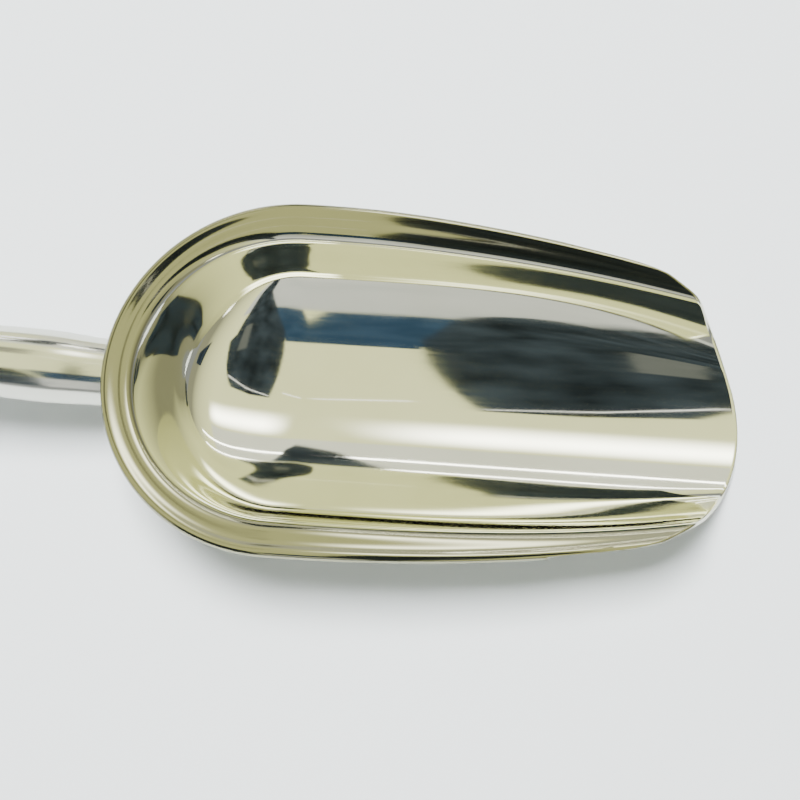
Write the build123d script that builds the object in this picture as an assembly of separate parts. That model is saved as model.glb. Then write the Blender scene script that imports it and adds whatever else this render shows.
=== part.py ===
from build123d import *
import math
import os

os.makedirs("parts", exist_ok=True)

# Millimetres. +X runs along the scoop to the lip, +Y to its left side, +Z up.
# A station is a distance along the scoop, measured from the back of the rim.

# Bowl
BOWL_LENGTH = 192
BACK_RADIUS = 55
TAPER_START = 55
TAPER_RATE = 0.00099
RIM_HEIGHT = 36
RIM_FALL = 0.0671
SHOULDER_HEIGHT = 32.4
SHEET = 1.2
FLAT_DEPTH = 0.25
FLARE_END = 165
LIP_DEPTH = 57.3
LIP_HALF_WIDTH = 48.6
CORNER_POWER = 26
TRIM_ROOM = 0.2
LIP_STEPS = 14
LIP_TOOL_REACH = 30

# Half a section, as the corners of a smooth curve. The bottom is an arc, given by its radius
# and its reach from the middle.
BACK_BOTTOM = (85, 30)
SIDE_BOTTOM = (45, 30)
BOTTOM_CORNERS = 6
# The shoulder's corners are shares of the way from the end of that arc to the rim.
BACK_SHOULDER = [(0.22, 0.12), (0.40, 0.40), (0.54, 0.78), (0.65, 0.975)]
SIDE_SHOULDER = [(0.17, 0.15), (0.35, 0.34), (0.47, 0.66), (0.58, 0.965)]
FRONT_SHOULDER = [(0.22, 0.20), (0.42, 0.42), (0.56, 0.68), (0.64, 0.92)]
# The last corners turn the edge over: distances from the rim's widest and highest.
BACK_EDGE = [(-4.9, -1.1), (-2.7, -0.05), (-1.4, 0.13), (-0.3, -0.5), (0.03, -1.9)]
FRONT_EDGE = [(-3.1, -0.85), (-2.35, -0.06), (-1.3, 0.1), (-0.4, -0.38), (0.05, -1.35)]
BACK_SHARE = 0.5
BACK_FADE = 33
POINTS_PER_SPAN = 3
BOWL_STATIONS = (55, 62, 74, 88, 102, 116, 130, 144, 158, 172, 186, 200)

# Handle
HANDLE_TILT = 8.2
HANDLE_JOINT_HEIGHT = 23.2
HANDLE_WALL = 0.9
HANDLE_REACH = 111
HANDLE_RADII = [(-20, 10.8), (0, 10.45), (6, 10.55), (15, 11.1),
                (30, 11.15), (56, 10.4), (84, 10.3), (111, 11.3)]
CAP_HEIGHT = 8.5
DOME_STEPS = 8
WELD_SIZE = 1.5
SEAM_WIDTH = 1.6
SEAM_STAND = 0.2

# Hanging hole
HOLE_PLACE = 100
HOLE_RADIUS = 3.5
SLEEVE_WALL = 0.8


def blend(low, high, share):
    return low + (high - low) * share


def half_width(station):
    """Half width of the bowl at a station past the round back."""
    return BACK_RADIUS - TAPER_RATE * max(0, station - TAPER_START) ** 2


def rim_height(station):
    return RIM_HEIGHT - RIM_FALL * max(0, station - BACK_RADIUS)


def smooth_share(share):
    """Eases a share from 0 to 1 in and out."""
    share = min(1, max(0, share))
    return share * share * (3 - 2 * share)


def bottom_corners(radius, reach):
    """Corners of a smooth curve that follows an arc from the middle of the bottom."""
    floor = SHEET - FLAT_DEPTH
    step = math.asin(reach / radius) / (BOTTOM_CORNERS - 1)
    corner_radius = radius * 3 / (2 + math.cos(step))
    corners = []
    for index in range(BOTTOM_CORNERS):
        across = corner_radius * math.sin(step * index)
        up = floor + radius - corner_radius * math.cos(step * index)
        corners.append((across, up))
    return corners


def section_corners(station):
    """Control polygon of half a section: the dish of the back runs out into the round trough."""
    width = half_width(station)
    height = rim_height(station)
    front = smooth_share((station - BACK_RADIUS) / (FLARE_END - BACK_RADIUS))
    back = BACK_SHARE * (1 - smooth_share((station - BACK_RADIUS) / BACK_FADE))
    radius = 1 / blend(1 / SIDE_BOTTOM[0], 1 / BACK_BOTTOM[0], back)
    reach = blend(SIDE_BOTTOM[1], BACK_BOTTOM[1], back) * width / BACK_RADIUS
    corners = bottom_corners(radius, reach)
    start = corners[-1]
    for low, side, high in zip(BACK_SHOULDER, SIDE_SHOULDER, FRONT_SHOULDER):
        across, up = (blend(blend(side[k], high[k], front), low[k], back) for k in (0, 1))
        corners.append((blend(start[0], width, across), blend(start[1], height, up)))
    for low, high in zip(BACK_EDGE, FRONT_EDGE):
        across, up = (blend(low[k], high[k], front) for k in (0, 1))
        corners.append((width + across, height + up))
    return corners


def smooth_curve(polygon):
    """Points along the uniform cubic B-spline of a control polygon, ends included."""
    padded = [polygon[0]] * 2 + polygon + [polygon[-1]] * 2
    points = []
    for start in range(len(padded) - 3):
        last_span = start == len(padded) - 4
        for step in range(POINTS_PER_SPAN + (1 if last_span else 0)):
            t = step / POINTS_PER_SPAN
            weights = ((1 - t) ** 3 / 6, (3 * t ** 3 - 6 * t ** 2 + 4) / 6,
                       (-3 * t ** 3 + 3 * t ** 2 + 3 * t + 1) / 6, t ** 3 / 6)
            spans = padded[start:start + 4]
            points.append(tuple(sum(w * p[k] for w, p in zip(weights, spans)) for k in (0, 1)))
    return points


def shifted(points, distance):
    """The same curve moved to its right-hand side by a distance."""
    moved = []
    for index, (x, y) in enumerate(points):
        before = points[max(0, index - 1)]
        after = points[min(len(points) - 1, index + 1)]
        run = (after[0] - before[0], after[1] - before[1])
        length = math.hypot(*run)
        moved.append((x + run[1] / length * distance, y - run[0] / length * distance))
    return moved


def full_section(station):
    """Inner line of a section from the right rim to the left rim, as (across, up)."""
    corners = section_corners(station)
    mirrored = [(-across, up) for across, up in reversed(corners[1:])]
    return smooth_curve(mirrored + corners)


def left_half(section):
    middle = len(section) // 2
    return section[middle:]


def outline_face(first, second, to_point):
    """Closed face between two curves with the same direction."""
    first = [to_point(*point) for point in first]
    second = [to_point(*point) for point in second]
    edges = [Spline(*first), Line(first[-1], second[-1]), Spline(*reversed(second)), Line(second[0], first[0])]
    return make_face(Wire(edges))


def back_point(across, up):
    """A point of the section plane through the middle of the round back."""
    return Vector(BACK_RADIUS, across, up)


def bowl_back(offset_inner, offset_outer):
    """Half turn of the section between two offsets of its inner line."""
    section = full_section(BACK_RADIUS)
    face = outline_face(left_half(shifted(section, offset_inner)), left_half(shifted(section, offset_outer)),
                        back_point)
    return revolve(face, Axis((BACK_RADIUS, 0, 0), (0, 0, 1)), 180)


def bowl_trough():
    """The open front of the bowl, skinned over its sections."""
    sections = []
    for station in BOWL_STATIONS:
        inner = full_section(station)
        sections.append(outline_face(inner, shifted(inner, SHEET),
                                     lambda across, up, at=station: Vector(at, across, up)))
    return loft(sections)


def outline_width(station):
    """Half width of the trimmed outline seen from above: the rim, rounded into the lip."""
    width = half_width(station)
    share = (station - BOWL_LENGTH + LIP_DEPTH) / LIP_DEPTH
    ellipse = LIP_HALF_WIDTH * math.sqrt(max(1e-9, 1 - share * share))
    rounded = (width ** -CORNER_POWER + ellipse ** -CORNER_POWER) ** (-1 / CORNER_POWER)
    return rounded + TRIM_ROOM * (1 - share)


def lip_trimmer():
    """What the round lip leaves out: a block with the lip's outline cut away."""
    start = BOWL_LENGTH - LIP_DEPTH
    length = LIP_DEPTH + LIP_TOOL_REACH
    block = Pos(start + length / 2, 0, 0) * Box(length, 4 * BACK_RADIUS, 4 * RIM_HEIGHT)
    side = []
    for index in range(LIP_STEPS):
        station = start + LIP_DEPTH * math.sin(math.pi / 2 * index / LIP_STEPS)
        side.append((station, outline_width(station)))
    curve = side + [(BOWL_LENGTH, 0)] + [(station, -width) for station, width in reversed(side)]
    lip = Spline(*curve, tangents=[(1, 0), (-1, 0)])
    hollow = extrude(make_face(Wire([lip, Line(lip @ 1, lip @ 0)])), 4 * RIM_HEIGHT, both=True)
    return block - hollow


def floor_cutter():
    return Pos(BOWL_LENGTH / 2, 0, -5) * Box(2 * BOWL_LENGTH, 4 * BACK_RADIUS, 10)


def scoop_bowl():
    return bowl_back(0, SHEET) + bowl_trough() - lip_trimmer() - floor_cutter()


def bowl_envelope(growth):
    """Everything inside the outer skin of the round back below its shoulder, grown outward."""
    skin = left_half(shifted(full_section(BACK_RADIUS), SHEET + growth))
    skin = [point for point in skin if point[1] < SHOULDER_HEIGHT]
    bottom = skin[0]
    top = skin[-1]
    lid = 2 * RIM_HEIGHT
    edges = [Spline(*[back_point(*point) for point in skin]),
             Line(back_point(*top), back_point(top[0], lid)),
             Line(back_point(top[0], lid), back_point(0, lid)),
             Line(back_point(0, lid), back_point(0, bottom[1]))]
    if bottom[0] > 1e-6:
        edges.append(Line(back_point(0, bottom[1]), back_point(*bottom)))
    return revolve(make_face(Wire(edges)), Axis((BACK_RADIUS, 0, 0), (0, 0, 1)), 360)


def handle_plane():
    """Plane whose Z runs along the handle, away from the bowl."""
    tilt = math.radians(HANDLE_TILT)
    return Plane(origin=(0, 0, HANDLE_JOINT_HEIGHT), x_dir=(0, 1, 0), z_dir=(-math.cos(tilt), 0, math.sin(tilt)))


def handle_profile(growth):
    """Outer line of the handle tube as (along, radius), grown outward."""
    return [(along, radius + growth) for along, radius in HANDLE_RADII]


def turned_solid(line):
    """Solid of revolution about the handle's axis under a line of (radius, along) points."""
    start = line[0]
    end = line[-1]
    curve = Spline(*[Vector(radius, 0, along) for along, radius in line])
    edges = [Line((0, 0, start[0]), curve @ 0), curve, Line(curve @ 1, (0, 0, end[0])),
             Line((0, 0, end[0]), (0, 0, start[0]))]
    return handle_plane() * revolve(make_face(Wire(edges)), Axis.Z, 360)


def ring(inner_radius, outer_radius, low, high):
    """Plain ring about the handle's axis."""
    length = high - low
    body = Cylinder(outer_radius, length) - Cylinder(inner_radius, 2 * length)
    return handle_plane() * Pos(0, 0, (low + high) / 2) * body


def sleeve_place():
    """The hanging hole stands upright across the handle."""
    return handle_plane() * Pos(0, 0, HOLE_PLACE) * Rot(90, 0, 0) * Rot(0, 0, 90)


def handle_tube(bowl, envelope):
    """Hollow tube, coped to the bowl and drilled across for the sleeve."""
    tube = turned_solid(handle_profile(0)) - turned_solid(handle_profile(-HANDLE_WALL))
    sleeve_hole = sleeve_place() * Cylinder(HOLE_RADIUS + SLEEVE_WALL, 4 * HANDLE_RADII[-1][1])
    return tube - envelope - bowl - sleeve_hole


def dome_line(growth):
    """Quarter ellipse of the cap, from the handle's side to its tip, grown outward."""
    radius = HANDLE_RADII[-1][1] + growth
    height = CAP_HEIGHT + growth
    points = []
    for step in range(DOME_STEPS + 1):
        angle = math.pi / 2 * step / DOME_STEPS
        points.append(Vector(radius * math.cos(angle), 0, HANDLE_REACH + height * math.sin(angle)))
    return Spline(*points, tangents=[(0, 0, 1), (-1, 0, 0)])


def handle_end_cap():
    """Pressed dome that closes the end of the handle."""
    outside = dome_line(0)
    inside = dome_line(-HANDLE_WALL)
    profile = make_face(Wire([outside, Line(outside @ 1, inside @ 1), inside, Line(inside @ 0, outside @ 0)]))
    return handle_plane() * revolve(profile, Axis.Z, 360)


def cap_weld_seam():
    """Thin raised ring over the joint between tube and cap."""
    radius = HANDLE_RADII[-1][1]
    low = HANDLE_REACH - SEAM_WIDTH / 2
    high = HANDLE_REACH + SEAM_WIDTH / 2
    return ring(radius, radius + SEAM_STAND, low, high) - turned_solid(handle_profile(0))


def bowl_weld_bead(bowl, envelope, grown_envelope):
    """Weld round the root of the handle, in the corner between tube and bowl."""
    collar = turned_solid(handle_profile(WELD_SIZE))
    corner = (collar & grown_envelope) - turned_solid(handle_profile(0)) - envelope - bowl
    return Part() + corner.solids().sort_by(SortBy.VOLUME)[-1]


def hanging_hole_sleeve():
    """Short tube through the handle that keeps it closed round the hole."""
    outer = HOLE_RADIUS + SLEEVE_WALL
    length = 4 * HANDLE_RADII[-1][1]
    sleeve = Cylinder(outer, length) - Cylinder(HOLE_RADIUS, 2 * length)
    return (sleeve_place() * sleeve) & turned_solid(handle_profile(0))


def build():
    bowl = scoop_bowl()
    envelope = bowl_envelope(0)
    grown_envelope = bowl_envelope(WELD_SIZE)
    return {
        "scoop_bowl": bowl,
        "handle_tube": handle_tube(bowl, envelope),
        "handle_end_cap": handle_end_cap(),
        "bowl_weld_bead": bowl_weld_bead(bowl, envelope, grown_envelope),
        "cap_weld_seam": cap_weld_seam(),
        "hanging_hole_sleeve": hanging_hole_sleeve(),
    }


pieces = build()
whole = Compound(children=[Part(piece.wrapped) for piece in pieces.values()])
middle = whole.bounding_box().center().X
for name, piece in pieces.items():
    export_step(Pos(-middle, 0, 0) * piece, f"parts/{name}.step")
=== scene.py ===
import math

import bmesh
import bpy
import numpy as np
from mathutils import Matrix, Vector


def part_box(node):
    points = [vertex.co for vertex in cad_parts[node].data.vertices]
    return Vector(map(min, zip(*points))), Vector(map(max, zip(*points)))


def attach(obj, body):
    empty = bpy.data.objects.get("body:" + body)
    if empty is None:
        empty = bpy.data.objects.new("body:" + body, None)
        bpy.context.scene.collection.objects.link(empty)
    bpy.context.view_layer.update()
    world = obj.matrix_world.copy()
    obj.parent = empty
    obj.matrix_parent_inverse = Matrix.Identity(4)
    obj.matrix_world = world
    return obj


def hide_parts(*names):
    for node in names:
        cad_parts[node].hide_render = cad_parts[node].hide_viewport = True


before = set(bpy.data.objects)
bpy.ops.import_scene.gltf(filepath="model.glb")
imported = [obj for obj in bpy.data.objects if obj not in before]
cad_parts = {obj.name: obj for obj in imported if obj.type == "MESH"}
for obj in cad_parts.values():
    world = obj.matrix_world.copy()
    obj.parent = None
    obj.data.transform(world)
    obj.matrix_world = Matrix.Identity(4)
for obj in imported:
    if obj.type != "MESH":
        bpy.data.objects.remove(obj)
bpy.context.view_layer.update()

MM = 0.001

# ---------------------------------------------------------------- shape of the scoop, in millimetres
# A station is a distance along the scoop, measured from the back of the rim.
BOWL_LENGTH = 192
BACK_RADIUS = 55
TAPER_START = 55
TAPER_RATE = 0.00099
RIM_HEIGHT = 36
RIM_FALL = 0.0786
FALL_EASE = 20
SHEET = 1.2
FLAT_DEPTH = 0.25
FLARE_END = 165
LIP_DEPTH = 57.3
LIP_HALF_WIDTH = 48.6
CORNER_POWER = 26
TRIM_ROOM = 0.2

# Half a section, as the corners of a smooth curve: a round bottom as its radius and its reach
# from the middle, a shoulder as shares of the way from there to the rim, and a turned edge as
# distances from the rim.
SIDE_BOTTOM = (45, 30)
BACK_BOTTOM = (85, 30)
BOTTOM_CORNERS = 6
BACK_SHOULDER = [(0.22, 0.12), (0.40, 0.40), (0.54, 0.78), (0.65, 0.975)]
SIDE_SHOULDER = [(0.17, 0.15), (0.35, 0.34), (0.47, 0.66), (0.58, 0.965)]
FRONT_SHOULDER = [(0.22, 0.20), (0.42, 0.42), (0.56, 0.68), (0.64, 0.92)]
BACK_EDGE = [(-4.9, -1.1), (-2.7, -0.05), (-1.4, 0.13), (-0.3, -0.5), (0.03, -1.9)]
FRONT_EDGE = [(-3.1, -0.85), (-2.35, -0.06), (-1.3, 0.1), (-0.4, -0.38), (0.05, -1.35)]

# Mesh of the bowl. The rounded edge bulges by EDGE_ROUND past the sheet's end, and the skins'
# last points close up over EDGE_SQUEEZE times that distance to make room for it.
POINTS_PER_SPAN = 7
TROUGH_ROWS = 130
BACK_ROWS = 72
EDGE_STEPS = 6
EDGE_ROUND = 0.45
EDGE_SQUEEZE = 4

# Searches halve a span of places this many times. The lip lies somewhere in front of its first
# station, and the handle's root somewhere in its span along the handle.
HALVINGS = 40
LIP_FIRST_STATION = 100
LIP_SLACK = 0.001
ROOT_SPAN = (-18, 12)

# Handle. Its radii stand against distance along it from the bowl's back wall.
HANDLE_TILT = 8.2
HANDLE_JOINT_HEIGHT = 23.2
HANDLE_REACH = 111
HANDLE_RADII = [(-20, 10.8), (0, 10.45), (6, 10.55), (15, 11.1),
                (30, 11.15), (56, 10.4), (84, 10.3), (111, 11.3)]
HANDLE_WALL = 0.9
HANDLE_SIDES = 128
HANDLE_ROWS = 120
CAP_HEIGHT = 8.5
CAP_ROWS = 24
HOLE_PLACE = 100
HOLE_RADIUS = 3.5
CUTTER_REACH = 20
SLEEVE_WALL = 0.8
SLEEVE_ROUNDING = 0.25
SLEEVE_STAND = 0.02
SLEEVE_SIDES = 96
SHARP_ANGLE = 35

# Welds. A root is how deep a weld reaches into the pieces that it joins.
BEAD_SIZE = 1.5
BEAD_ROOT = 0.05
BEAD_BACK_ROOT = 0.1
BEAD_RIPPLE = 0.13
BEAD_RIPPLES = 46
BEAD_STEPS = 9
BEAD_SIDES = 460
SEAM_WIDTH = 1.6
SEAM_ROOT = 0.1
SEAM_STAND = 0.19
SEAM_RIPPLE = 0.035
SEAM_RIPPLES = 70
SEAM_STEPS = 12
SEAM_SIDES = 560

# Points closer than this, in metres, become one.
MERGE_DISTANCE = 1e-7

# ---------------------------------------------------------------- looks of the materials

# Noise runs in object space, and a stretch draws it out along the axes where it is small.
EVEN = (1, 1, 1)
ALONG_SCOOP = (0.035, 1, 1)
ROUND_HANDLE = (1, 0.4, 0.4)
ACROSS_CARD = (1, 0.35, 1)
# The middle part of a noise's range, which is spread over a whole range of values.
NOISE_MIDDLE = (0.3, 0.7)

# Steel of the bowl and the handle: its cloudy colour, its smudges and its slight waves.
CLOUD_SCALE = 26
SMUDGE_SCALE = 55
SMUDGE_ROUGHNESS = (-0.006, 0.02)
WAVE_SCALE = 38

# Where the duller finish of the rim and the shade painted on it begin and are complete, in millimetres
# below the rim's line.
RIM_DULL_AND_SHADE_BAND = (3.4, 1.6)
# Painted shade: the rim's darker, more olive base colour stands in for the dim reflection that the rim
# shows.
RIM_PAINTED_SHADE_COLOUR = (0.31, 0.305, 0.21)
RIM_ADDED_ROUGHNESS = 0.04

WELD_COLOURS = ((0.62, 0.56, 0.45), (0.70, 0.68, 0.64))
WELD_TINT_SCALE = 210
WELD_GRAIN_SCALE = 2600
WELD_GRAIN_DEPTH = 0.00004
WELD_ROUGHNESS = (0.24, 0.42)

# Sockets of Blender's colour mix node, which has several of each name.
MIX_FACTOR = 0
MIX_FIRST = 6
MIX_SECOND = 7
MIX_RESULT = 2

# ---------------------------------------------------------------- stage, in metres
FLOOR_SIZE = 3.0
FLOOR_COLOURS = ((0.785, 0.825, 0.845), (0.815, 0.85, 0.865))
FLOOR_CLOUD_SCALE = 3
FLOOR_ROUGHNESS = 0.7

# What the polished steel reflects: flat cards above the scoop, seen in reflections only. They
# hang in layers one step apart, and a lower card hides those above it. Each has a name, two
# colours with their strength that a cloudy pattern runs between, the scale of that pattern, and
# corners in metres along and across the scoop.
CARD_HEIGHT = 1.0
CARD_STEP = 0.002
DARK = (0.016, 0.022, 0.026)
DARK_FOLD = (0.075, 0.10, 0.125)
ROOM_CARDS = [
    ("cream_ceiling", (1.42, 1.44, 0.80), (1.66, 1.68, 0.98), 0.8,
     [(-6, -6), (6, -6), (6, 6), (-6, 6)]),
    ("far_wall", (1.25, 1.27, 1.08), (1.45, 1.47, 1.28), 1.0,
     [(-6, 0.95), (6, 0.95), (6, 6), (-6, 6)]),
    ("near_wall", (0.90, 0.94, 0.92), (1.15, 1.16, 1.12), 1.0,
     [(-6, -6), (6, -6), (6, -1.35), (-6, -1.35)]),
]
# The ceiling dims towards the end of the room that the lip points at. It hangs between the
# room's cards and the rest.
END_CORNERS = [(0.55, -6), (6, -6), (6, 6), (0.55, 6)]
END_COLOURS = ((1.52, 1.54, 0.88), (0.40, 0.40, 0.28))
END_FADE = (0.55, 2.3)
END_LAYER = 3.5
FIRST_THING_LAYER = 4
THING_CARDS = [
    ("strip_light_one", (11, 11, 11), (13, 13, 13), 1.0,
     [(-1, 1.5), (1, 1.5), (1, 1.58), (-1, 1.58)]),
    ("strip_light_two", (11, 11, 11), (13, 13, 13), 1.0,
     [(-1, 2.2), (1, 2.2), (1, 2.3), (-1, 2.3)]),
    ("corner_light", (5.5, 5.5, 5.0), (6.5, 6.5, 6.0), 1.0,
     [(2.2, -3.9), (2.7, -3.9), (2.7, -3.0), (2.2, -3.0)]),
    ("blue_cloth", (0.03, 0.07, 0.13), (0.07, 0.13, 0.22), 9.0,
     [(-0.25, -1.33), (-0.02, -1.33), (-0.04, -0.62), (-0.25, -0.62)]),
    ("dark_cloth", DARK, DARK_FOLD, 9.0,
     [(0.05, 0.20), (0.01, -0.1), (-0.02, -0.4), (-0.045, -0.8), (-0.02, -1.33), (0.14, -2.1),
      (0.20, -4.9), (0.46, -4.9), (0.40, -1.33), (0.42, -0.75), (0.50, -0.62), (0.40, -0.2),
      (0.30, 0.12), (0.17, 0.19)]),
    ("dark_shoulder", DARK, DARK_FOLD, 5.0,
     [(-1.4, -1.30), (-0.30, -1.30), (-0.30, -0.66), (-1.4, -0.60)]),
    ("dark_doorway", DARK, (0.06, 0.09, 0.14), 3.0,
     [(1.55, -1.0), (3.5, -1.05), (3.3, -0.45), (1.75, -0.25)]),
    ("dark_screen", DARK, DARK_FOLD, 5.0,
     [(-0.27, 1.05), (-0.5, 1.3), (-0.6, 2.3), (-0.2, 2.3), (-0.21, 1.3)]),
    ("dim_panel", (0.17, 0.19, 0.18), (0.24, 0.25, 0.24), 3.0,
     [(0.235, -0.95), (0.32, -0.90), (0.32, -0.40), (0.235, -0.45)]),
    ("thin_strip_back", (2.6, 2.6, 2.6), (3.4, 3.4, 3.4), 3.0,
     [(-0.15, 0.170), (-0.15, 0.182), (-0.03, 0.127), (-0.03, 0.115)]),
    ("thin_strip_front", (2.2, 2.2, 2.2), (3.0, 3.0, 3.0), 3.0,
     [(0.055, 0.170), (0.055, 0.178), (0.188, 0.118), (0.33, -0.027), (0.33, -0.042), (0.188, 0.105)]),
    ("dim_corner", (0.36, 0.36, 0.26), (0.54, 0.54, 0.39), 6.0,
     [(-0.75, 0.20), (-0.20, 0.20), (-0.20, 0.50), (-0.75, 0.62)]),
]
# A window, brightest in the middle, below all the others. Its fades are shares of its size.
WINDOW_CORNERS = [(-0.16, 0.38), (0.62, 0.36), (0.62, 0.92), (-0.16, 0.92)]
WINDOW_COLOURS = ((1.52, 1.54, 0.88), (9.0, 9.0, 8.4))
WINDOW_FADES = {"X": 0.3, "Y": 0.5}

# Upright cards: a name, two colours, their place across the scoop, their span along it and
# their span in height. The first is a dark figure beyond the handle, seen low down in the tube,
# and the second is the pale wall on the other side.
UPRIGHT_CARDS = [
    ("dark_figure", (0.04, 0.045, 0.045), DARK_FOLD, -1.3, (-1.4, -0.30), (0.20, 0.97)),
    ("pale_wall", (1.1, 1.12, 1.05), (1.52, 1.54, 0.88), 2.5, (-3.5, -0.35), (0.02, 0.9)),
]
UPRIGHT_CLOUD_SCALE = 4.0

WORLD_COLOUR = (0.93, 0.97, 1.0, 1)
WORLD_STRENGTH = 0.40
KEY_PLACE = (-0.10, 0.30, 1.5)
KEY_SIZE = (0.7, 0.7)
KEY_POWER = 77
KEY_COLOUR = (0.985, 1, 0.995)

# ---------------------------------------------------------------- camera, in degrees, pixels and metres
CAMERA_ELEVATION = 71.19
CAMERA_TURN = 17.1
CAMERA_ROLL = -12.59
CAMERA_DISTANCE = 0.353
CAMERA_FOCAL_PIXELS = 1169.2
CAMERA_NEAREST = 0.01
IMAGE_PIXELS = 800
SENSOR_WIDTH = 36
# The point in the middle of the picture, in millimetres from the back of the rim.
CAMERA_TARGET = (88.25, -1.6, 20.0)

# ---------------------------------------------------------------- helpers


def new_object(name, vertices, faces, body="root"):
    """Mesh object from points in metres in the shared frame, which rides on a body."""
    mesh = bpy.data.meshes.new(name)
    mesh.from_pydata([tuple(p) for p in vertices], [], [tuple(f) for f in faces])
    mesh.update()
    piece = bpy.data.objects.new(name, mesh)
    bpy.context.scene.collection.objects.link(piece)
    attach(piece, body)
    return piece


def clean(mesh):
    """Joins doubled points, drops empty faces, points every face outward and shades it smooth."""
    bm = bmesh.new()
    bm.from_mesh(mesh)
    bmesh.ops.remove_doubles(bm, verts=bm.verts, dist=MERGE_DISTANCE)
    bmesh.ops.dissolve_degenerate(bm, edges=bm.edges, dist=MERGE_DISTANCE)
    bmesh.ops.recalc_face_normals(bm, faces=bm.faces)
    bm.to_mesh(mesh)
    bm.free()
    shade_smooth(mesh)


def shade_smooth(mesh):
    for polygon in mesh.polygons:
        polygon.use_smooth = True


def turns_round(count):
    """Angles evenly spaced round a full turn."""
    return 2 * math.pi * np.arange(count) / count


def between(first, second, share):
    return np.array(first) + (np.array(second) - np.array(first)) * share


def quads(first, second, flip=False):
    """Faces between two rows of vertex numbers."""
    made = []
    for k in range(len(first) - 1):
        face = (first[k], first[k + 1], second[k + 1], second[k])
        made.append(face[::-1] if flip else face)
    return made


def closed_rows(rows):
    """Faces between neighbouring closed rings of vertex numbers."""
    faces = []
    for one, two in zip(rows, rows[1:]):
        faces += quads(one + one[:1], two + two[:1])
    return faces


# ---------------------------------------------------------------- lines of the bowl


def spline_rows(corner_count):
    """Weights that turn half a control polygon into half a section: one matrix for the
    distance across, which changes sign at the middle, and one for the height, which doesn't.
    The curve is a uniform cubic B-spline that starts and ends on its end corners."""
    full = 2 * corner_count - 1
    padded = [0, 0] + list(range(full)) + [full - 1] * 2
    rows = []
    for start in range(len(padded) - 3):
        last = start == len(padded) - 4
        for step in range(POINTS_PER_SPAN + (1 if last else 0)):
            t = step / POINTS_PER_SPAN
            weights = ((1 - t) ** 3 / 6, (3 * t ** 3 - 6 * t ** 2 + 4) / 6,
                       (-3 * t ** 3 + 3 * t ** 2 + 3 * t + 1) / 6, t ** 3 / 6)
            row = np.zeros(full)
            for weight, corner in zip(weights, padded[start:start + 4]):
                row[corner] += weight
            rows.append(row)
    rows = np.array(rows)
    rows = rows[len(rows) // 2:]
    middle = corner_count - 1
    across = rows[:, middle:].copy()
    up = rows[:, middle:].copy()
    for k in range(1, corner_count):
        across[:, k] -= rows[:, middle - k]
        up[:, k] += rows[:, middle - k]
    return across, up


ACROSS, UP = spline_rows(BOTTOM_CORNERS + len(BACK_SHOULDER) + len(BACK_EDGE))


def half_width(station):
    return BACK_RADIUS - TAPER_RATE * max(0, station - TAPER_START) ** 2


def rim_height(station):
    """Height of the rim's line, level round the back and easing into a straight fall."""
    past = max(0, station - BACK_RADIUS)
    if past < 2 * FALL_EASE:
        return RIM_HEIGHT - RIM_FALL * past * past / (4 * FALL_EASE)
    return RIM_HEIGHT - RIM_FALL * (past - FALL_EASE)


def section_line(width, height, bottom_radius, bottom_reach, shoulder, edge):
    """Points of half a section from its bottom circle, its shoulder and its turned edge."""
    floor = SHEET - FLAT_DEPTH
    turns = math.asin(bottom_reach / bottom_radius) * np.linspace(0, 1, BOTTOM_CORNERS)
    # The corners lie this far from the circle's centre, so that the smooth curve lies on it.
    reach = bottom_radius * 3 / (2 + math.cos(turns[1]))
    bottom = np.stack([reach * np.sin(turns), floor + bottom_radius - reach * np.cos(turns)], axis=1)
    room = np.array([width, height]) - bottom[-1]
    corners = np.concatenate([bottom, bottom[-1] + shoulder * room, np.array([width, height]) + edge])
    across, up = corners.T
    return ACROSS @ across, UP @ up


def half_section(station):
    """Inner line of half a section of the trough, from the middle of the bottom to the rim."""
    share = min(1, max(0, (station - BACK_RADIUS) / (FLARE_END - BACK_RADIUS)))
    share = share * share * (3 - 2 * share)
    width = half_width(station)
    radius, reach = SIDE_BOTTOM
    shoulder = between(SIDE_SHOULDER, FRONT_SHOULDER, share)
    edge = between(BACK_EDGE, FRONT_EDGE, share)
    return section_line(width, rim_height(station), radius, reach * width / BACK_RADIUS, shoulder, edge)


def back_section(angle):
    """Inner line of the round back at an angle: 0 points straight back, 90 degrees to the side."""
    share = math.cos(angle) ** 2
    curvature = (1 - share) / SIDE_BOTTOM[0] + share / BACK_BOTTOM[0]
    reach = SIDE_BOTTOM[1] + (BACK_BOTTOM[1] - SIDE_BOTTOM[1]) * share
    return section_line(BACK_RADIUS, RIM_HEIGHT, 1 / curvature, reach,
                        between(SIDE_SHOULDER, BACK_SHOULDER, share), np.array(BACK_EDGE))


def outline_width(station):
    """Half width of the trimmed outline seen from above: the trough's rim, rounded into the lip."""
    width = half_width(station)
    share = (station - BOWL_LENGTH + LIP_DEPTH) / LIP_DEPTH
    if share <= 0:
        return width + TRIM_ROOM
    ellipse = LIP_HALF_WIDTH * math.sqrt(max(1e-9, 1 - share * share))
    rounded = (width ** -CORNER_POWER + ellipse ** -CORNER_POWER) ** (-1 / CORNER_POWER)
    return rounded + TRIM_ROOM * (1 - share)


def lip_ends():
    """Station where each line of the section meets the lip."""
    count = ACROSS.shape[0]
    low = np.full(count, float(LIP_FIRST_STATION))
    high = np.full(count, BOWL_LENGTH + LIP_SLACK)
    for _ in range(HALVINGS):
        middle = (low + high) / 2
        for k in range(count):
            if half_section(middle[k])[0][k] < outline_width(middle[k]):
                low[k] = middle[k]
            else:
                high[k] = middle[k]
    return (low + high) / 2


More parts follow.
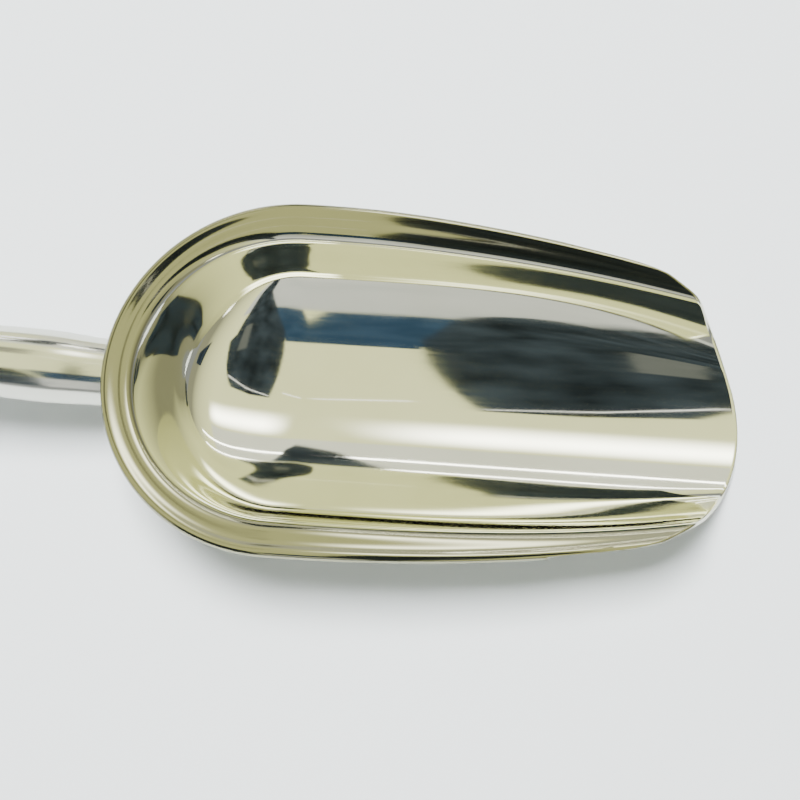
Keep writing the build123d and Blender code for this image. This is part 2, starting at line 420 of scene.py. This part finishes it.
def bowl_grid():
    """Inner skin as rows that run round the U of the scoop, and columns from the middle out."""
    ends = lip_ends()
    count = len(ends)
    far = np.zeros((TROUGH_ROWS + 1, count, 3))
    for row in range(TROUGH_ROWS + 1):
        stations = BACK_RADIUS + (ends - BACK_RADIUS) * row / TROUGH_ROWS
        for k in range(count):
            across, up = half_section(stations[k])
            far[row, k] = (stations[k], across[k], up[k])
    near = far[::-1] * np.array([1, -1, 1])
    back = []
    for row in range(1, BACK_ROWS):
        angle = math.pi * (row / BACK_ROWS - 0.5)
        across, up = back_section(angle)
        stations = BACK_RADIUS - across * math.cos(angle)
        back.append(np.stack([stations, across * math.sin(angle), up], axis=1))
    return np.concatenate([near, np.array(back), far])


def grid_normals(grid):
    """Unit normals of a grid of points, on the side of the open bowl."""
    along = np.gradient(grid, axis=0)
    out = np.gradient(grid, axis=1)
    normal = np.cross(along, out)
    normal[:, 0] = (0, 0, 1)
    length = np.linalg.norm(normal, axis=2, keepdims=True)
    normal = normal / np.maximum(length, 1e-9)
    if normal[:, grid.shape[1] // 2, 2].mean() < 0:
        normal[:, 1:] *= -1
    return normal


def origin_shift():
    """Station of the model's origin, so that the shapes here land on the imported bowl."""
    low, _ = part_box("scoop_bowl")
    return -low.x / MM


SHIFT = origin_shift()


def to_frame(points):
    """Stations in millimetres to metres in the shared frame."""
    return (np.asarray(points, float) - np.array([SHIFT, 0, 0])) * MM


# ---------------------------------------------------------------- bowl


def edge_bulge(inner, edge):
    """Unit direction out of the sheet at each point of its edge, in the sheet's own plane."""
    away = []
    last_row = inner.shape[0] - 1
    for i, k in edge:
        if 0 < i < last_row:
            before = inner[i, k - 1]
        else:
            before = inner[1 if i == 0 else i - 1, k]
        away.append(inner[i, k] - before)
    away = np.array(away)
    tangent = np.gradient(np.array([inner[i, k] for i, k in edge]), axis=0)
    tangent /= np.linalg.norm(tangent, axis=1, keepdims=True)
    away -= np.sum(away * tangent, axis=1, keepdims=True) * tangent
    return away / np.linalg.norm(away, axis=1, keepdims=True)


def pulled_back(line):
    """Line of points whose last point is moved back along it, those before it closing up evenly."""
    steps = np.linalg.norm(np.diff(line, axis=0), axis=1)
    to_end = np.append(np.cumsum(steps[::-1])[::-1], 0)
    reach = EDGE_SQUEEZE * EDGE_ROUND
    target = np.where(to_end < reach, EDGE_ROUND + to_end * (reach - EDGE_ROUND) / reach, to_end)
    return np.stack([np.interp(-target, -to_end, line[:, k]) for k in range(3)], axis=1)


def with_room_for_edge(grid):
    """Skin of the sheet stopped short of its edge all round, where the rounding begins."""
    made = np.array([pulled_back(row) for row in grid])
    for k in range(made.shape[1]):
        made[:, k] = pulled_back(made[:, k])
        made[::-1, k] = pulled_back(made[::-1, k])
    return made


def build_bowl():
    """The stamped sheet: inner skin, outer skin and a softly rounded edge all round."""
    inner = bowl_grid()
    outer = inner - grid_normals(inner) * SHEET
    outer[..., 2] = np.maximum(outer[..., 2], 0)
    inner = with_room_for_edge(inner)
    outer = with_room_for_edge(outer)
    rows, columns, _ = inner.shape
    number_in = np.arange(rows * columns).reshape(rows, columns)
    number_out = number_in + rows * columns
    faces = []
    for i in range(rows - 1):
        faces += quads(number_in[i], number_in[i + 1])
        faces += quads(number_out[i], number_out[i + 1], flip=True)
    # From the middle of the lip round the back and on to the middle of the lip again.
    edge = [(0, k) for k in range(columns)] + [(i, columns - 1) for i in range(1, rows)]
    edge += [(rows - 1, k) for k in range(columns - 2, -1, -1)]
    rim_in = np.array([inner[i, k] for i, k in edge])
    rim_out = np.array([outer[i, k] for i, k in edge])
    bulge = edge_bulge(inner, edge)
    strips = [[number_in[i, k] for i, k in edge]]
    extra = []
    count = 2 * rows * columns
    for step in range(1, EDGE_STEPS):
        angle = math.pi * step / EDGE_STEPS
        extra.append((rim_in + rim_out) / 2 + (rim_in - rim_out) / 2 * math.cos(angle)
                     + bulge * EDGE_ROUND * math.sin(angle))
        strips.append(list(range(count, count + len(edge))))
        count += len(edge)
    strips.append([number_out[i, k] for i, k in edge])
    for one, two in zip(strips, strips[1:]):
        faces += quads(one, two)
    vertices = np.concatenate([inner.reshape(-1, 3), outer.reshape(-1, 3)] + extra)
    piece = new_object("bowl_sheet", to_frame(vertices), faces)
    clean(piece.data)
    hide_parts("scoop_bowl")
    return piece


# ---------------------------------------------------------------- handle and welds


def handle_axes():
    """Root of the handle, and its directions outward, sideways and upward."""
    tilt = math.radians(HANDLE_TILT)
    out = np.array([-math.cos(tilt), 0, math.sin(tilt)])
    side = np.array([0, 1, 0])
    upward = np.cross(side, out)
    root = np.array([0, 0, HANDLE_JOINT_HEIGHT])
    return root, out, side, upward


def handle_radius(along):
    """Natural cubic through the handle's radii."""
    xs = np.array([p[0] for p in HANDLE_RADII], float)
    ys = np.array([p[1] for p in HANDLE_RADII], float)
    count = len(xs)
    step = np.diff(xs)
    matrix = np.eye(count)
    right = np.zeros(count)
    for k in range(1, count - 1):
        matrix[k, k - 1] = step[k - 1]
        matrix[k, k] = 2 * (step[k - 1] + step[k])
        matrix[k, k + 1] = step[k]
        right[k] = 6 * ((ys[k + 1] - ys[k]) / step[k] - (ys[k] - ys[k - 1]) / step[k - 1])
    bend = np.linalg.solve(matrix, right)
    k = int(np.clip(np.searchsorted(xs, along) - 1, 0, count - 2))
    t = along - xs[k]
    slope = (ys[k + 1] - ys[k]) / step[k] - step[k] * (2 * bend[k] + bend[k + 1]) / 6
    return ys[k] + slope * t + bend[k] / 2 * t ** 2 + (bend[k + 1] - bend[k]) / (6 * step[k]) * t ** 3


def handle_radii(along):
    return np.array([handle_radius(place) for place in along])


def outer_skin():
    """Outer line of the round back, as distance from its centre against height."""
    across, up = back_section(0)
    line = np.stack([across, up], axis=1)
    run = np.gradient(line, axis=0)
    run /= np.linalg.norm(run, axis=1, keepdims=True)
    return line + np.stack([run[:, 1], -run[:, 0]], axis=1) * SHEET


def wall_distance(height, skin):
    """Radius of the bowl's outer wall at a height, below the turned edge."""
    top = int(np.argmax(skin[:, 0]))
    return float(np.interp(height, skin[:top, 1], skin[:top, 0]))


def tube_start(angle, skin, growth=0.0):
    """Where a line along the handle at an angle meets the bowl's outer skin."""
    root, out, side, upward = handle_axes()
    low, high = ROOT_SPAN
    for _ in range(HALVINGS):
        middle = (low + high) / 2
        radius = handle_radius(middle) + growth
        point = root + out * middle + radius * (side * math.sin(angle) + upward * math.cos(angle))
        reach = math.hypot(point[0] - BACK_RADIUS, point[1])
        if reach < wall_distance(point[2], skin):
            low = middle
        else:
            high = middle
    return (low + high) / 2


def handle_points(along, radius, angle):
    """Points in stations from places along the handle, distances from its axis and angles."""
    root, out, side, upward = handle_axes()
    round_it = np.multiply.outer(np.sin(angle), side) + np.multiply.outer(np.cos(angle), upward)
    return root + np.multiply.outer(along, out) + np.asarray(radius)[..., None] * round_it


def ring_piece(name, rings, node):
    """Piece made of rings of points, closed into a loop of rings."""
    size = len(rings[0])
    numbers = [list(range(i * size, (i + 1) * size)) for i in range(len(rings))]
    numbers.append(numbers[0])
    piece = new_object(name, to_frame(np.concatenate(rings)), closed_rows(numbers))
    clean(piece.data)
    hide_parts(node)
    return piece


def drill(piece, cutter):
    """Cuts the cutter's shape out of a piece for good and removes the cutter."""
    cut = piece.modifiers.new("drill", "BOOLEAN")
    cut.operation = "DIFFERENCE"
    cut.solver = "EXACT"
    cut.object = cutter
    graph = bpy.context.evaluated_depsgraph_get()
    mesh = bpy.data.meshes.new_from_object(piece.evaluated_get(graph))
    piece.modifiers.clear()
    piece.data = mesh
    bpy.data.objects.remove(cutter)
    shade_smooth(mesh)
    mesh.set_sharp_from_angle(angle=math.radians(SHARP_ANGLE))


def hole_cutter(radius):
    """Plain cylinder through the handle where the sleeve sits."""
    root, out, side, upward = handle_axes()
    turns = turns_round(SLEEVE_SIDES)
    circle = radius * (np.multiply.outer(np.cos(turns), out) + np.multiply.outer(np.sin(turns), side))
    centre = root + out * HOLE_PLACE
    points = [centre + upward * height + circle for height in (-CUTTER_REACH, CUTTER_REACH)]
    numbers = [list(range(SLEEVE_SIDES)), list(range(SLEEVE_SIDES, 2 * SLEEVE_SIDES))]
    faces = closed_rows(numbers) + [tuple(numbers[0][::-1]), tuple(numbers[1])]
    mesh = bpy.data.meshes.new("hole_cutter")
    mesh.from_pydata([tuple(p) for p in to_frame(np.concatenate(points))], [], faces)
    clean(mesh)
    cutter = bpy.data.objects.new("hole_cutter", mesh)
    bpy.context.scene.collection.objects.link(cutter)
    return cutter


def build_tube():
    """The handle's hollow tube, coped to the bowl's wall and drilled for the sleeve."""
    angle = turns_round(HANDLE_SIDES)
    skin = outer_skin()
    starts = np.array([tube_start(a, skin) for a in angle])
    outside = []
    inside = []
    for row in range(HANDLE_ROWS + 1):
        along = starts + (HANDLE_REACH - starts) * row / HANDLE_ROWS
        radius = handle_radii(along)
        outside.append(handle_points(along, radius, angle))
        inside.append(handle_points(along, radius - HANDLE_WALL, angle))
    piece = ring_piece("handle_skin", outside + inside[::-1], "handle_tube")
    drill(piece, hole_cutter(HOLE_RADIUS + SLEEVE_WALL))
    return piece


def build_cap():
    """Domed end cap, outside and inside."""
    angle = turns_round(HANDLE_SIDES)
    end_radius = HANDLE_RADII[-1][1]
    rings = []
    for growth, order in ((0, 1), (-HANDLE_WALL, -1)):
        dome = []
        for row in range(CAP_ROWS + 1):
            swing = math.pi / 2 * row / CAP_ROWS
            radius = np.full(HANDLE_SIDES, (end_radius + growth) * math.cos(swing))
            along = np.full(HANDLE_SIDES, HANDLE_REACH + (CAP_HEIGHT + growth) * math.sin(swing))
            dome.append(handle_points(along, radius, angle))
        rings += dome[::order]
    return ring_piece("cap_dome", rings, "handle_end_cap")


def build_bead():
    """Rippled weld in the corner between the handle's root and the bowl's wall."""
    angle = turns_round(BEAD_SIDES)
    skin = outer_skin()
    rings = []
    size = BEAD_SIZE - BEAD_RIPPLE + BEAD_RIPPLE * np.abs(np.sin(BEAD_RIPPLES / 2 * angle))
    for step in range(BEAD_STEPS + 1):
        swing = math.pi / 2 * step / BEAD_STEPS
        growth = size * math.sin(swing) - BEAD_ROOT
        lift = size * math.cos(swing) - BEAD_ROOT
        along = np.array([tube_start(a, skin, g) for a, g in zip(angle, growth)]) + lift
        rings.append(handle_points(along, handle_radii(along) + growth, angle))
    along = np.array([tube_start(a, skin, -BEAD_BACK_ROOT) for a in angle]) - BEAD_BACK_ROOT
    rings.append(handle_points(along, handle_radii(along) - BEAD_BACK_ROOT, angle))
    return ring_piece("root_weld", rings, "bowl_weld_bead")


def build_seam():
    """Low rippled weld over the joint between tube and cap."""
    angle = turns_round(SEAM_SIDES)
    inside = HANDLE_RADII[-1][1] - SEAM_ROOT
    stand = SEAM_STAND - SEAM_RIPPLE + SEAM_RIPPLE * np.abs(np.sin(SEAM_RIPPLES / 2 * angle))
    rings = []
    for step in range(SEAM_STEPS + 1):
        swing = math.pi * step / SEAM_STEPS
        along = np.full(SEAM_SIDES, HANDLE_REACH - SEAM_WIDTH / 2 * math.cos(swing))
        rings.append(handle_points(along, inside + (SEAM_ROOT + stand) * math.sin(swing), angle))
    return ring_piece("end_weld", rings, "cap_weld_seam")


def build_sleeve():
    """Short tube through the handle round the hanging hole, its ends following the handle."""
    root, out, side, upward = handle_axes()
    turns = turns_round(SLEEVE_SIDES)
    outer = HOLE_RADIUS + SLEEVE_WALL
    # From the outside over the end's rounded face to the bore: each loop's radius, and how far
    # it stands above the handle's skin.
    profile = [(outer, 0), (outer - SLEEVE_ROUNDING, SLEEVE_STAND),
               (HOLE_RADIUS + SLEEVE_ROUNDING, SLEEVE_STAND), (HOLE_RADIUS, -SLEEVE_ROUNDING)]
    loops = []
    for radius, stand in profile:
        along = HOLE_PLACE + radius * np.cos(turns)
        wide = radius * np.sin(turns)
        loops.append((along, wide, np.sqrt(handle_radii(along) ** 2 - wide ** 2) + stand))
    rings = []
    for sign, order in ((1, loops), (-1, loops[::-1])):
        for along, wide, height in order:
            rings.append(root + np.multiply.outer(along, out) + np.multiply.outer(wide, side)
                         + np.multiply.outer(sign * height, upward))
    return ring_piece("hole_sleeve", rings, "hanging_hole_sleeve")


# ---------------------------------------------------------------- materials


class Tree:
    """Adds nodes to one new material and links them."""

    def __init__(self, name):
        self.material = bpy.data.materials.new(name)
        self.material.use_nodes = True
        self.tree = self.material.node_tree
        self.shader = self.tree.nodes["Principled BSDF"]

    def add(self, kind, values=None, links=None, **settings):
        """New node with its settings, the plain values of some inputs and the links into others."""
        made = self.tree.nodes.new(kind)
        for key, value in settings.items():
            setattr(made, key, value)
        for key, value in (values or {}).items():
            made.inputs[key].default_value = value
        for key, output in (links or {}).items():
            self.tree.links.new(output, made.inputs[key])
        return made

    def give(self, value, socket):
        """Puts a plain value into an input, or links the output of another node to it."""
        if isinstance(value, bpy.types.NodeSocket):
            self.tree.links.new(value, socket)
        else:
            socket.default_value = value

    def math(self, operation, *terms):
        """Arithmetic on plain numbers and outputs of other nodes."""
        made = self.add("ShaderNodeMath", operation=operation)
        for socket, term in zip(made.inputs, terms):
            self.give(term, socket)
        return made.outputs[0]

    def axis(self, space, letter):
        """One coordinate of a point on the surface."""
        place = self.add("ShaderNodeTexCoord").outputs[space]
        return self.add("ShaderNodeSeparateXYZ", links={"Vector": place}).outputs[letter]

    def noise(self, scale, stretch=EVEN, detail=4, roughness=0.55):
        """Noise in object space, drawn out along the axes whose stretch is small."""
        place = self.add("ShaderNodeTexCoord").outputs["Object"]
        drawn = self.add("ShaderNodeMapping", {"Scale": stretch}, {"Vector": place}).outputs["Vector"]
        values = {"Scale": scale, "Detail": detail, "Roughness": roughness}
        return self.add("ShaderNodeTexNoise", values, {"Vector": drawn}).outputs["Fac"]

    def spread(self, value, low, high, span=NOISE_MIDDLE, kind="LINEAR"):
        """A value whose span is made to run from low to high."""
        values = {"From Min": span[0], "From Max": span[1], "To Min": low, "To Max": high}
        made = self.add("ShaderNodeMapRange", values, {"Value": value}, interpolation_type=kind)
        return made.outputs["Result"]

    def mixed(self, factor, first, second):
        """Blend of two colours. The first is a plain colour or the output of another node."""
        mix = self.add("ShaderNodeMix", links={MIX_FACTOR: factor}, data_type="RGBA")
        self.give((*first, 1) if isinstance(first, tuple) else first, mix.inputs[MIX_FIRST])
        self.give((*second, 1), mix.inputs[MIX_SECOND])
        return mix.outputs[MIX_RESULT]

    def bump(self, height, distance, normal=None):
        links = {"Height": height}
        if normal is not None:
            links["Normal"] = normal
        return self.add("ShaderNodeBump", {"Strength": 1, "Distance": distance}, links).outputs["Normal"]

    def link(self, output, name):
        self.tree.links.new(output, self.shader.inputs[name])

    def lit(self, colour):
        """Makes the material give off light of a colour and do nothing else, and gives it back."""
        self.tree.nodes.remove(self.shader)
        light = self.add("ShaderNodeEmission", {"Strength": 1}, {"Color": colour})
        self.tree.links.new(light.outputs[0], self.tree.nodes["Material Output"].inputs["Surface"])
        return self.material


def rim_dull_and_shade_mask(tree):
    """1 on the flat band and fold of the rim, 0 in the hollow, from the height below the rim's line. It
    masks the rim's duller finish and the shade painted there.
    """
    start = (BACK_RADIUS + FALL_EASE - SHIFT) * MM
    past = tree.math("MAXIMUM", tree.math("SUBTRACT", tree.axis("Object", "X"), start), 0)
    level = tree.math("MULTIPLY_ADD", past, RIM_FALL, tree.axis("Object", "Z"))
    band = [(RIM_HEIGHT - below) * MM for below in RIM_DULL_AND_SHADE_BAND]
    return tree.spread(level, 0, 1, band, "SMOOTHSTEP")


def steel(name, colours, roughness, lines, line_depth, wave_depth, stretch=ALONG_SCOOP, rim=False):
    """Stainless steel: a faint cloud in its colour, polishing lines and a slightly wavy surface."""
    tree = Tree(name)
    tree.shader.inputs["Metallic"].default_value = 1
    cloud = tree.spread(tree.noise(CLOUD_SCALE, detail=3), 0, 1)
    colour = tree.mixed(cloud, *colours)
    scratches = tree.noise(lines, stretch, detail=5)
    smudges = tree.noise(SMUDGE_SCALE, detail=6, roughness=0.65)
    rough = tree.math("ADD", tree.spread(scratches, *roughness), tree.spread(smudges, *SMUDGE_ROUGHNESS))
    if rim:
        # The rim keeps a duller finish than the buffed hollow. It also gets a darker, more olive colour
        # painted on it: painted shade that stands in for its dim reflection.
        band = rim_dull_and_shade_mask(tree)
        colour = tree.mixed(band, colour, RIM_PAINTED_SHADE_COLOUR)
        rough = tree.math("MULTIPLY_ADD", band, RIM_ADDED_ROUGHNESS, rough)
    tree.link(colour, "Base Color")
    tree.link(rough, "Roughness")
    waves = tree.bump(tree.noise(WAVE_SCALE, detail=2), wave_depth)
    tree.link(tree.bump(scratches, line_depth, waves), "Normal")
    return tree.material


def mirror_sheet():
    """Buffed sheet of the bowl, with its duller rim and painted shade on that rim."""
    return steel("mirror_sheet", ((0.775, 0.775, 0.635), (0.825, 0.825, 0.695)),
                 roughness=(0.035, 0.07), lines=900, line_depth=0.0000012, wave_depth=0.000010, rim=True)


def polished_tube():
    """Polished tube and cap of the handle, softer in its shine than the bowl."""
    return steel("polished_tube", ((0.74, 0.74, 0.65), (0.80, 0.80, 0.72)),
                 roughness=(0.10, 0.16), lines=1400, line_depth=0.000003, wave_depth=0.000006)


def satin_sleeve():
    """Sleeve of the hanging hole, with an even satin grain."""
    return steel("satin_sleeve", ((0.66, 0.65, 0.61), (0.74, 0.73, 0.70)), stretch=EVEN,
                 roughness=(0.18, 0.28), lines=2200, line_depth=0.000008, wave_depth=0.000004)


def weld_steel():
    """Brushed weld metal, tinted by heat between straw and pale steel."""
    tree = Tree("heat_tinted_weld")
    tree.shader.inputs["Metallic"].default_value = 1
    tint = tree.spread(tree.noise(WELD_TINT_SCALE, detail=3), 0, 1)
    grain = tree.noise(WELD_GRAIN_SCALE, ROUND_HANDLE, detail=4)
    tree.link(tree.mixed(tint, *WELD_COLOURS), "Base Color")
    tree.link(tree.spread(grain, *WELD_ROUGHNESS), "Roughness")
    tree.link(tree.bump(grain, WELD_GRAIN_DEPTH), "Normal")
    return tree.material


def dress(piece, material):
    piece.data.materials.clear()
    piece.data.materials.append(material)


# ---------------------------------------------------------------- build

sheet_steel = mirror_sheet()
tube_steel = polished_tube()
sleeve_steel = satin_sleeve()
weld = weld_steel()
dress(build_bowl(), sheet_steel)
dress(build_tube(), tube_steel)
dress(build_cap(), tube_steel)
dress(build_bead(), weld)
dress(build_seam(), weld)
dress(build_sleeve(), sleeve_steel)

# ---------------------------------------------------------------- stage

scene = bpy.context.scene


def glow(name, low, high, scale):
    """Material that gives off light, cloudy between two colours."""
    tree = Tree(name)
    cloud = tree.spread(tree.noise(scale, ACROSS_CARD, detail=3), 0, 1)
    return tree.lit(tree.mixed(cloud, low, high))


def soft_glow(name, edge, middle, fades):
    """Material that gives off light, brightest in the middle of its card and fading to the edges."""
    tree = Tree(name)
    shares = []
    for letter, fade in fades.items():
        away = tree.math("ABSOLUTE", tree.math("SUBTRACT", tree.axis("Generated", letter), 0.5))
        shares.append(tree.spread(away, 0, 1, (0.5, 0.5 - fade), "SMOOTHSTEP"))
    return tree.lit(tree.mixed(tree.math("MULTIPLY", *shares), edge, middle))


def fading_glow(name, first, last, span):
    """Material whose light goes from one colour to another over a span of the card's X."""
    tree = Tree(name)
    share = tree.spread(tree.axis("Object", "X"), 0, 1, span)
    return tree.lit(tree.mixed(share, first, last))


def reflection_card(name, material, corners):
    """Flat card that only reflections see. It lights nothing and casts no shadow."""
    mesh = bpy.data.meshes.new(name)
    mesh.from_pydata(corners, [], [tuple(range(len(corners)))])
    mesh.materials.append(material)
    card = bpy.data.objects.new(name, mesh)
    scene.collection.objects.link(card)
    card.visible_camera = False
    card.visible_diffuse = False
    card.visible_shadow = False
    card.visible_transmission = False
    card.visible_volume_scatter = False


def hanging_card(name, material, corners, layer):
    """Level reflection card that hangs a number of layers below the highest."""
    height = CARD_HEIGHT - CARD_STEP * layer
    reflection_card(name, material, [(x, y, height) for x, y in corners])


def hang_cards(cards, first_layer):
    """Cloudy cards, each one layer below the card before."""
    for layer, (name, low, high, scale, corners) in enumerate(cards, first_layer):
        hanging_card(name, glow(name, low, high, scale), corners, layer)


def upright_card(name, low_colour, high_colour, place, span, heights):
    """Reflection card that stands across the scoop's width at a place."""
    left, right = span
    low, high = heights
    reflection_card(name, glow(name, low_colour, high_colour, UPRIGHT_CLOUD_SCALE),
                    [(left, place, low), (right, place, low), (right, place, high), (left, place, high)])


def floor_plane():
    """Pale paper on the ground."""
    size = FLOOR_SIZE
    corners = [(-size, -size, 0), (size, -size, 0), (size, size, 0), (-size, size, 0)]
    mesh = bpy.data.meshes.new("floor")
    mesh.from_pydata(corners, [], [(0, 1, 2, 3)])
    plane = bpy.data.objects.new("floor", mesh)
    scene.collection.objects.link(plane)
    tree = Tree("floor_paper")
    cloud = tree.spread(tree.noise(FLOOR_CLOUD_SCALE), 0, 1)
    tree.link(tree.mixed(cloud, *FLOOR_COLOURS), "Base Color")
    tree.shader.inputs["Roughness"].default_value = FLOOR_ROUGHNESS
    mesh.materials.append(tree.material)


def light_world():
    """Even pale light from all round."""
    world = bpy.data.worlds.new("studio")
    world.use_nodes = True
    background = world.node_tree.nodes["Background"]
    background.inputs["Color"].default_value = WORLD_COLOUR
    background.inputs["Strength"].default_value = WORLD_STRENGTH
    scene.world = world


def soft_light(name, place, size, power, colour):
    """Lamp that points at the scoop and that reflections don't see."""
    data = bpy.data.lights.new(name, "AREA")
    data.shape = "RECTANGLE"
    data.size, data.size_y = size
    data.energy = power
    data.color = colour
    lamp = bpy.data.objects.new(name, data)
    lamp.location = place
    lamp.rotation_euler = (-Vector(place)).to_track_quat("-Z", "Y").to_euler()
    lamp.visible_glossy = False
    scene.collection.objects.link(lamp)


floor_plane()
hanging_card("dim_room_end", fading_glow("dim_room_end", *END_COLOURS, END_FADE), END_CORNERS, END_LAYER)
hang_cards(ROOM_CARDS, 0)
hang_cards(THING_CARDS, FIRST_THING_LAYER)
hanging_card("soft_window", soft_glow("soft_window", *WINDOW_COLOURS, WINDOW_FADES), WINDOW_CORNERS,
             FIRST_THING_LAYER + len(THING_CARDS))
for card in UPRIGHT_CARDS:
    upright_card(*card)
light_world()
soft_light("soft_key", KEY_PLACE, KEY_SIZE, KEY_POWER, KEY_COLOUR)

# ---------------------------------------------------------------- camera


def set_camera():
    """Camera at the photograph's viewing angle, looking at its target."""
    data = bpy.data.cameras.new("photo_view")
    data.sensor_width = SENSOR_WIDTH
    data.lens = SENSOR_WIDTH * CAMERA_FOCAL_PIXELS / IMAGE_PIXELS
    data.clip_start = CAMERA_NEAREST
    camera = bpy.data.objects.new("photo_view", data)
    scene.collection.objects.link(camera)
    elevation, turn, roll = (math.radians(a) for a in (CAMERA_ELEVATION, CAMERA_TURN, CAMERA_ROLL))
    level = math.cos(elevation)
    back = Vector((math.sin(turn) * level, -math.cos(turn) * level, math.sin(elevation)))
    level_right = (-back).cross(Vector((0, 0, 1))).normalized()
    level_up = level_right.cross(-back)
    right = math.cos(roll) * level_right + math.sin(roll) * level_up
    up = math.cos(roll) * level_up - math.sin(roll) * level_right
    place = Vector(to_frame([CAMERA_TARGET])[0]) + back * CAMERA_DISTANCE
    camera.matrix_world = Matrix((
        (right.x, up.x, back.x, place.x),
        (right.y, up.y, back.y, place.y),
        (right.z, up.z, back.z, place.z),
        (0, 0, 0, 1)))
    scene.camera = camera


set_camera()
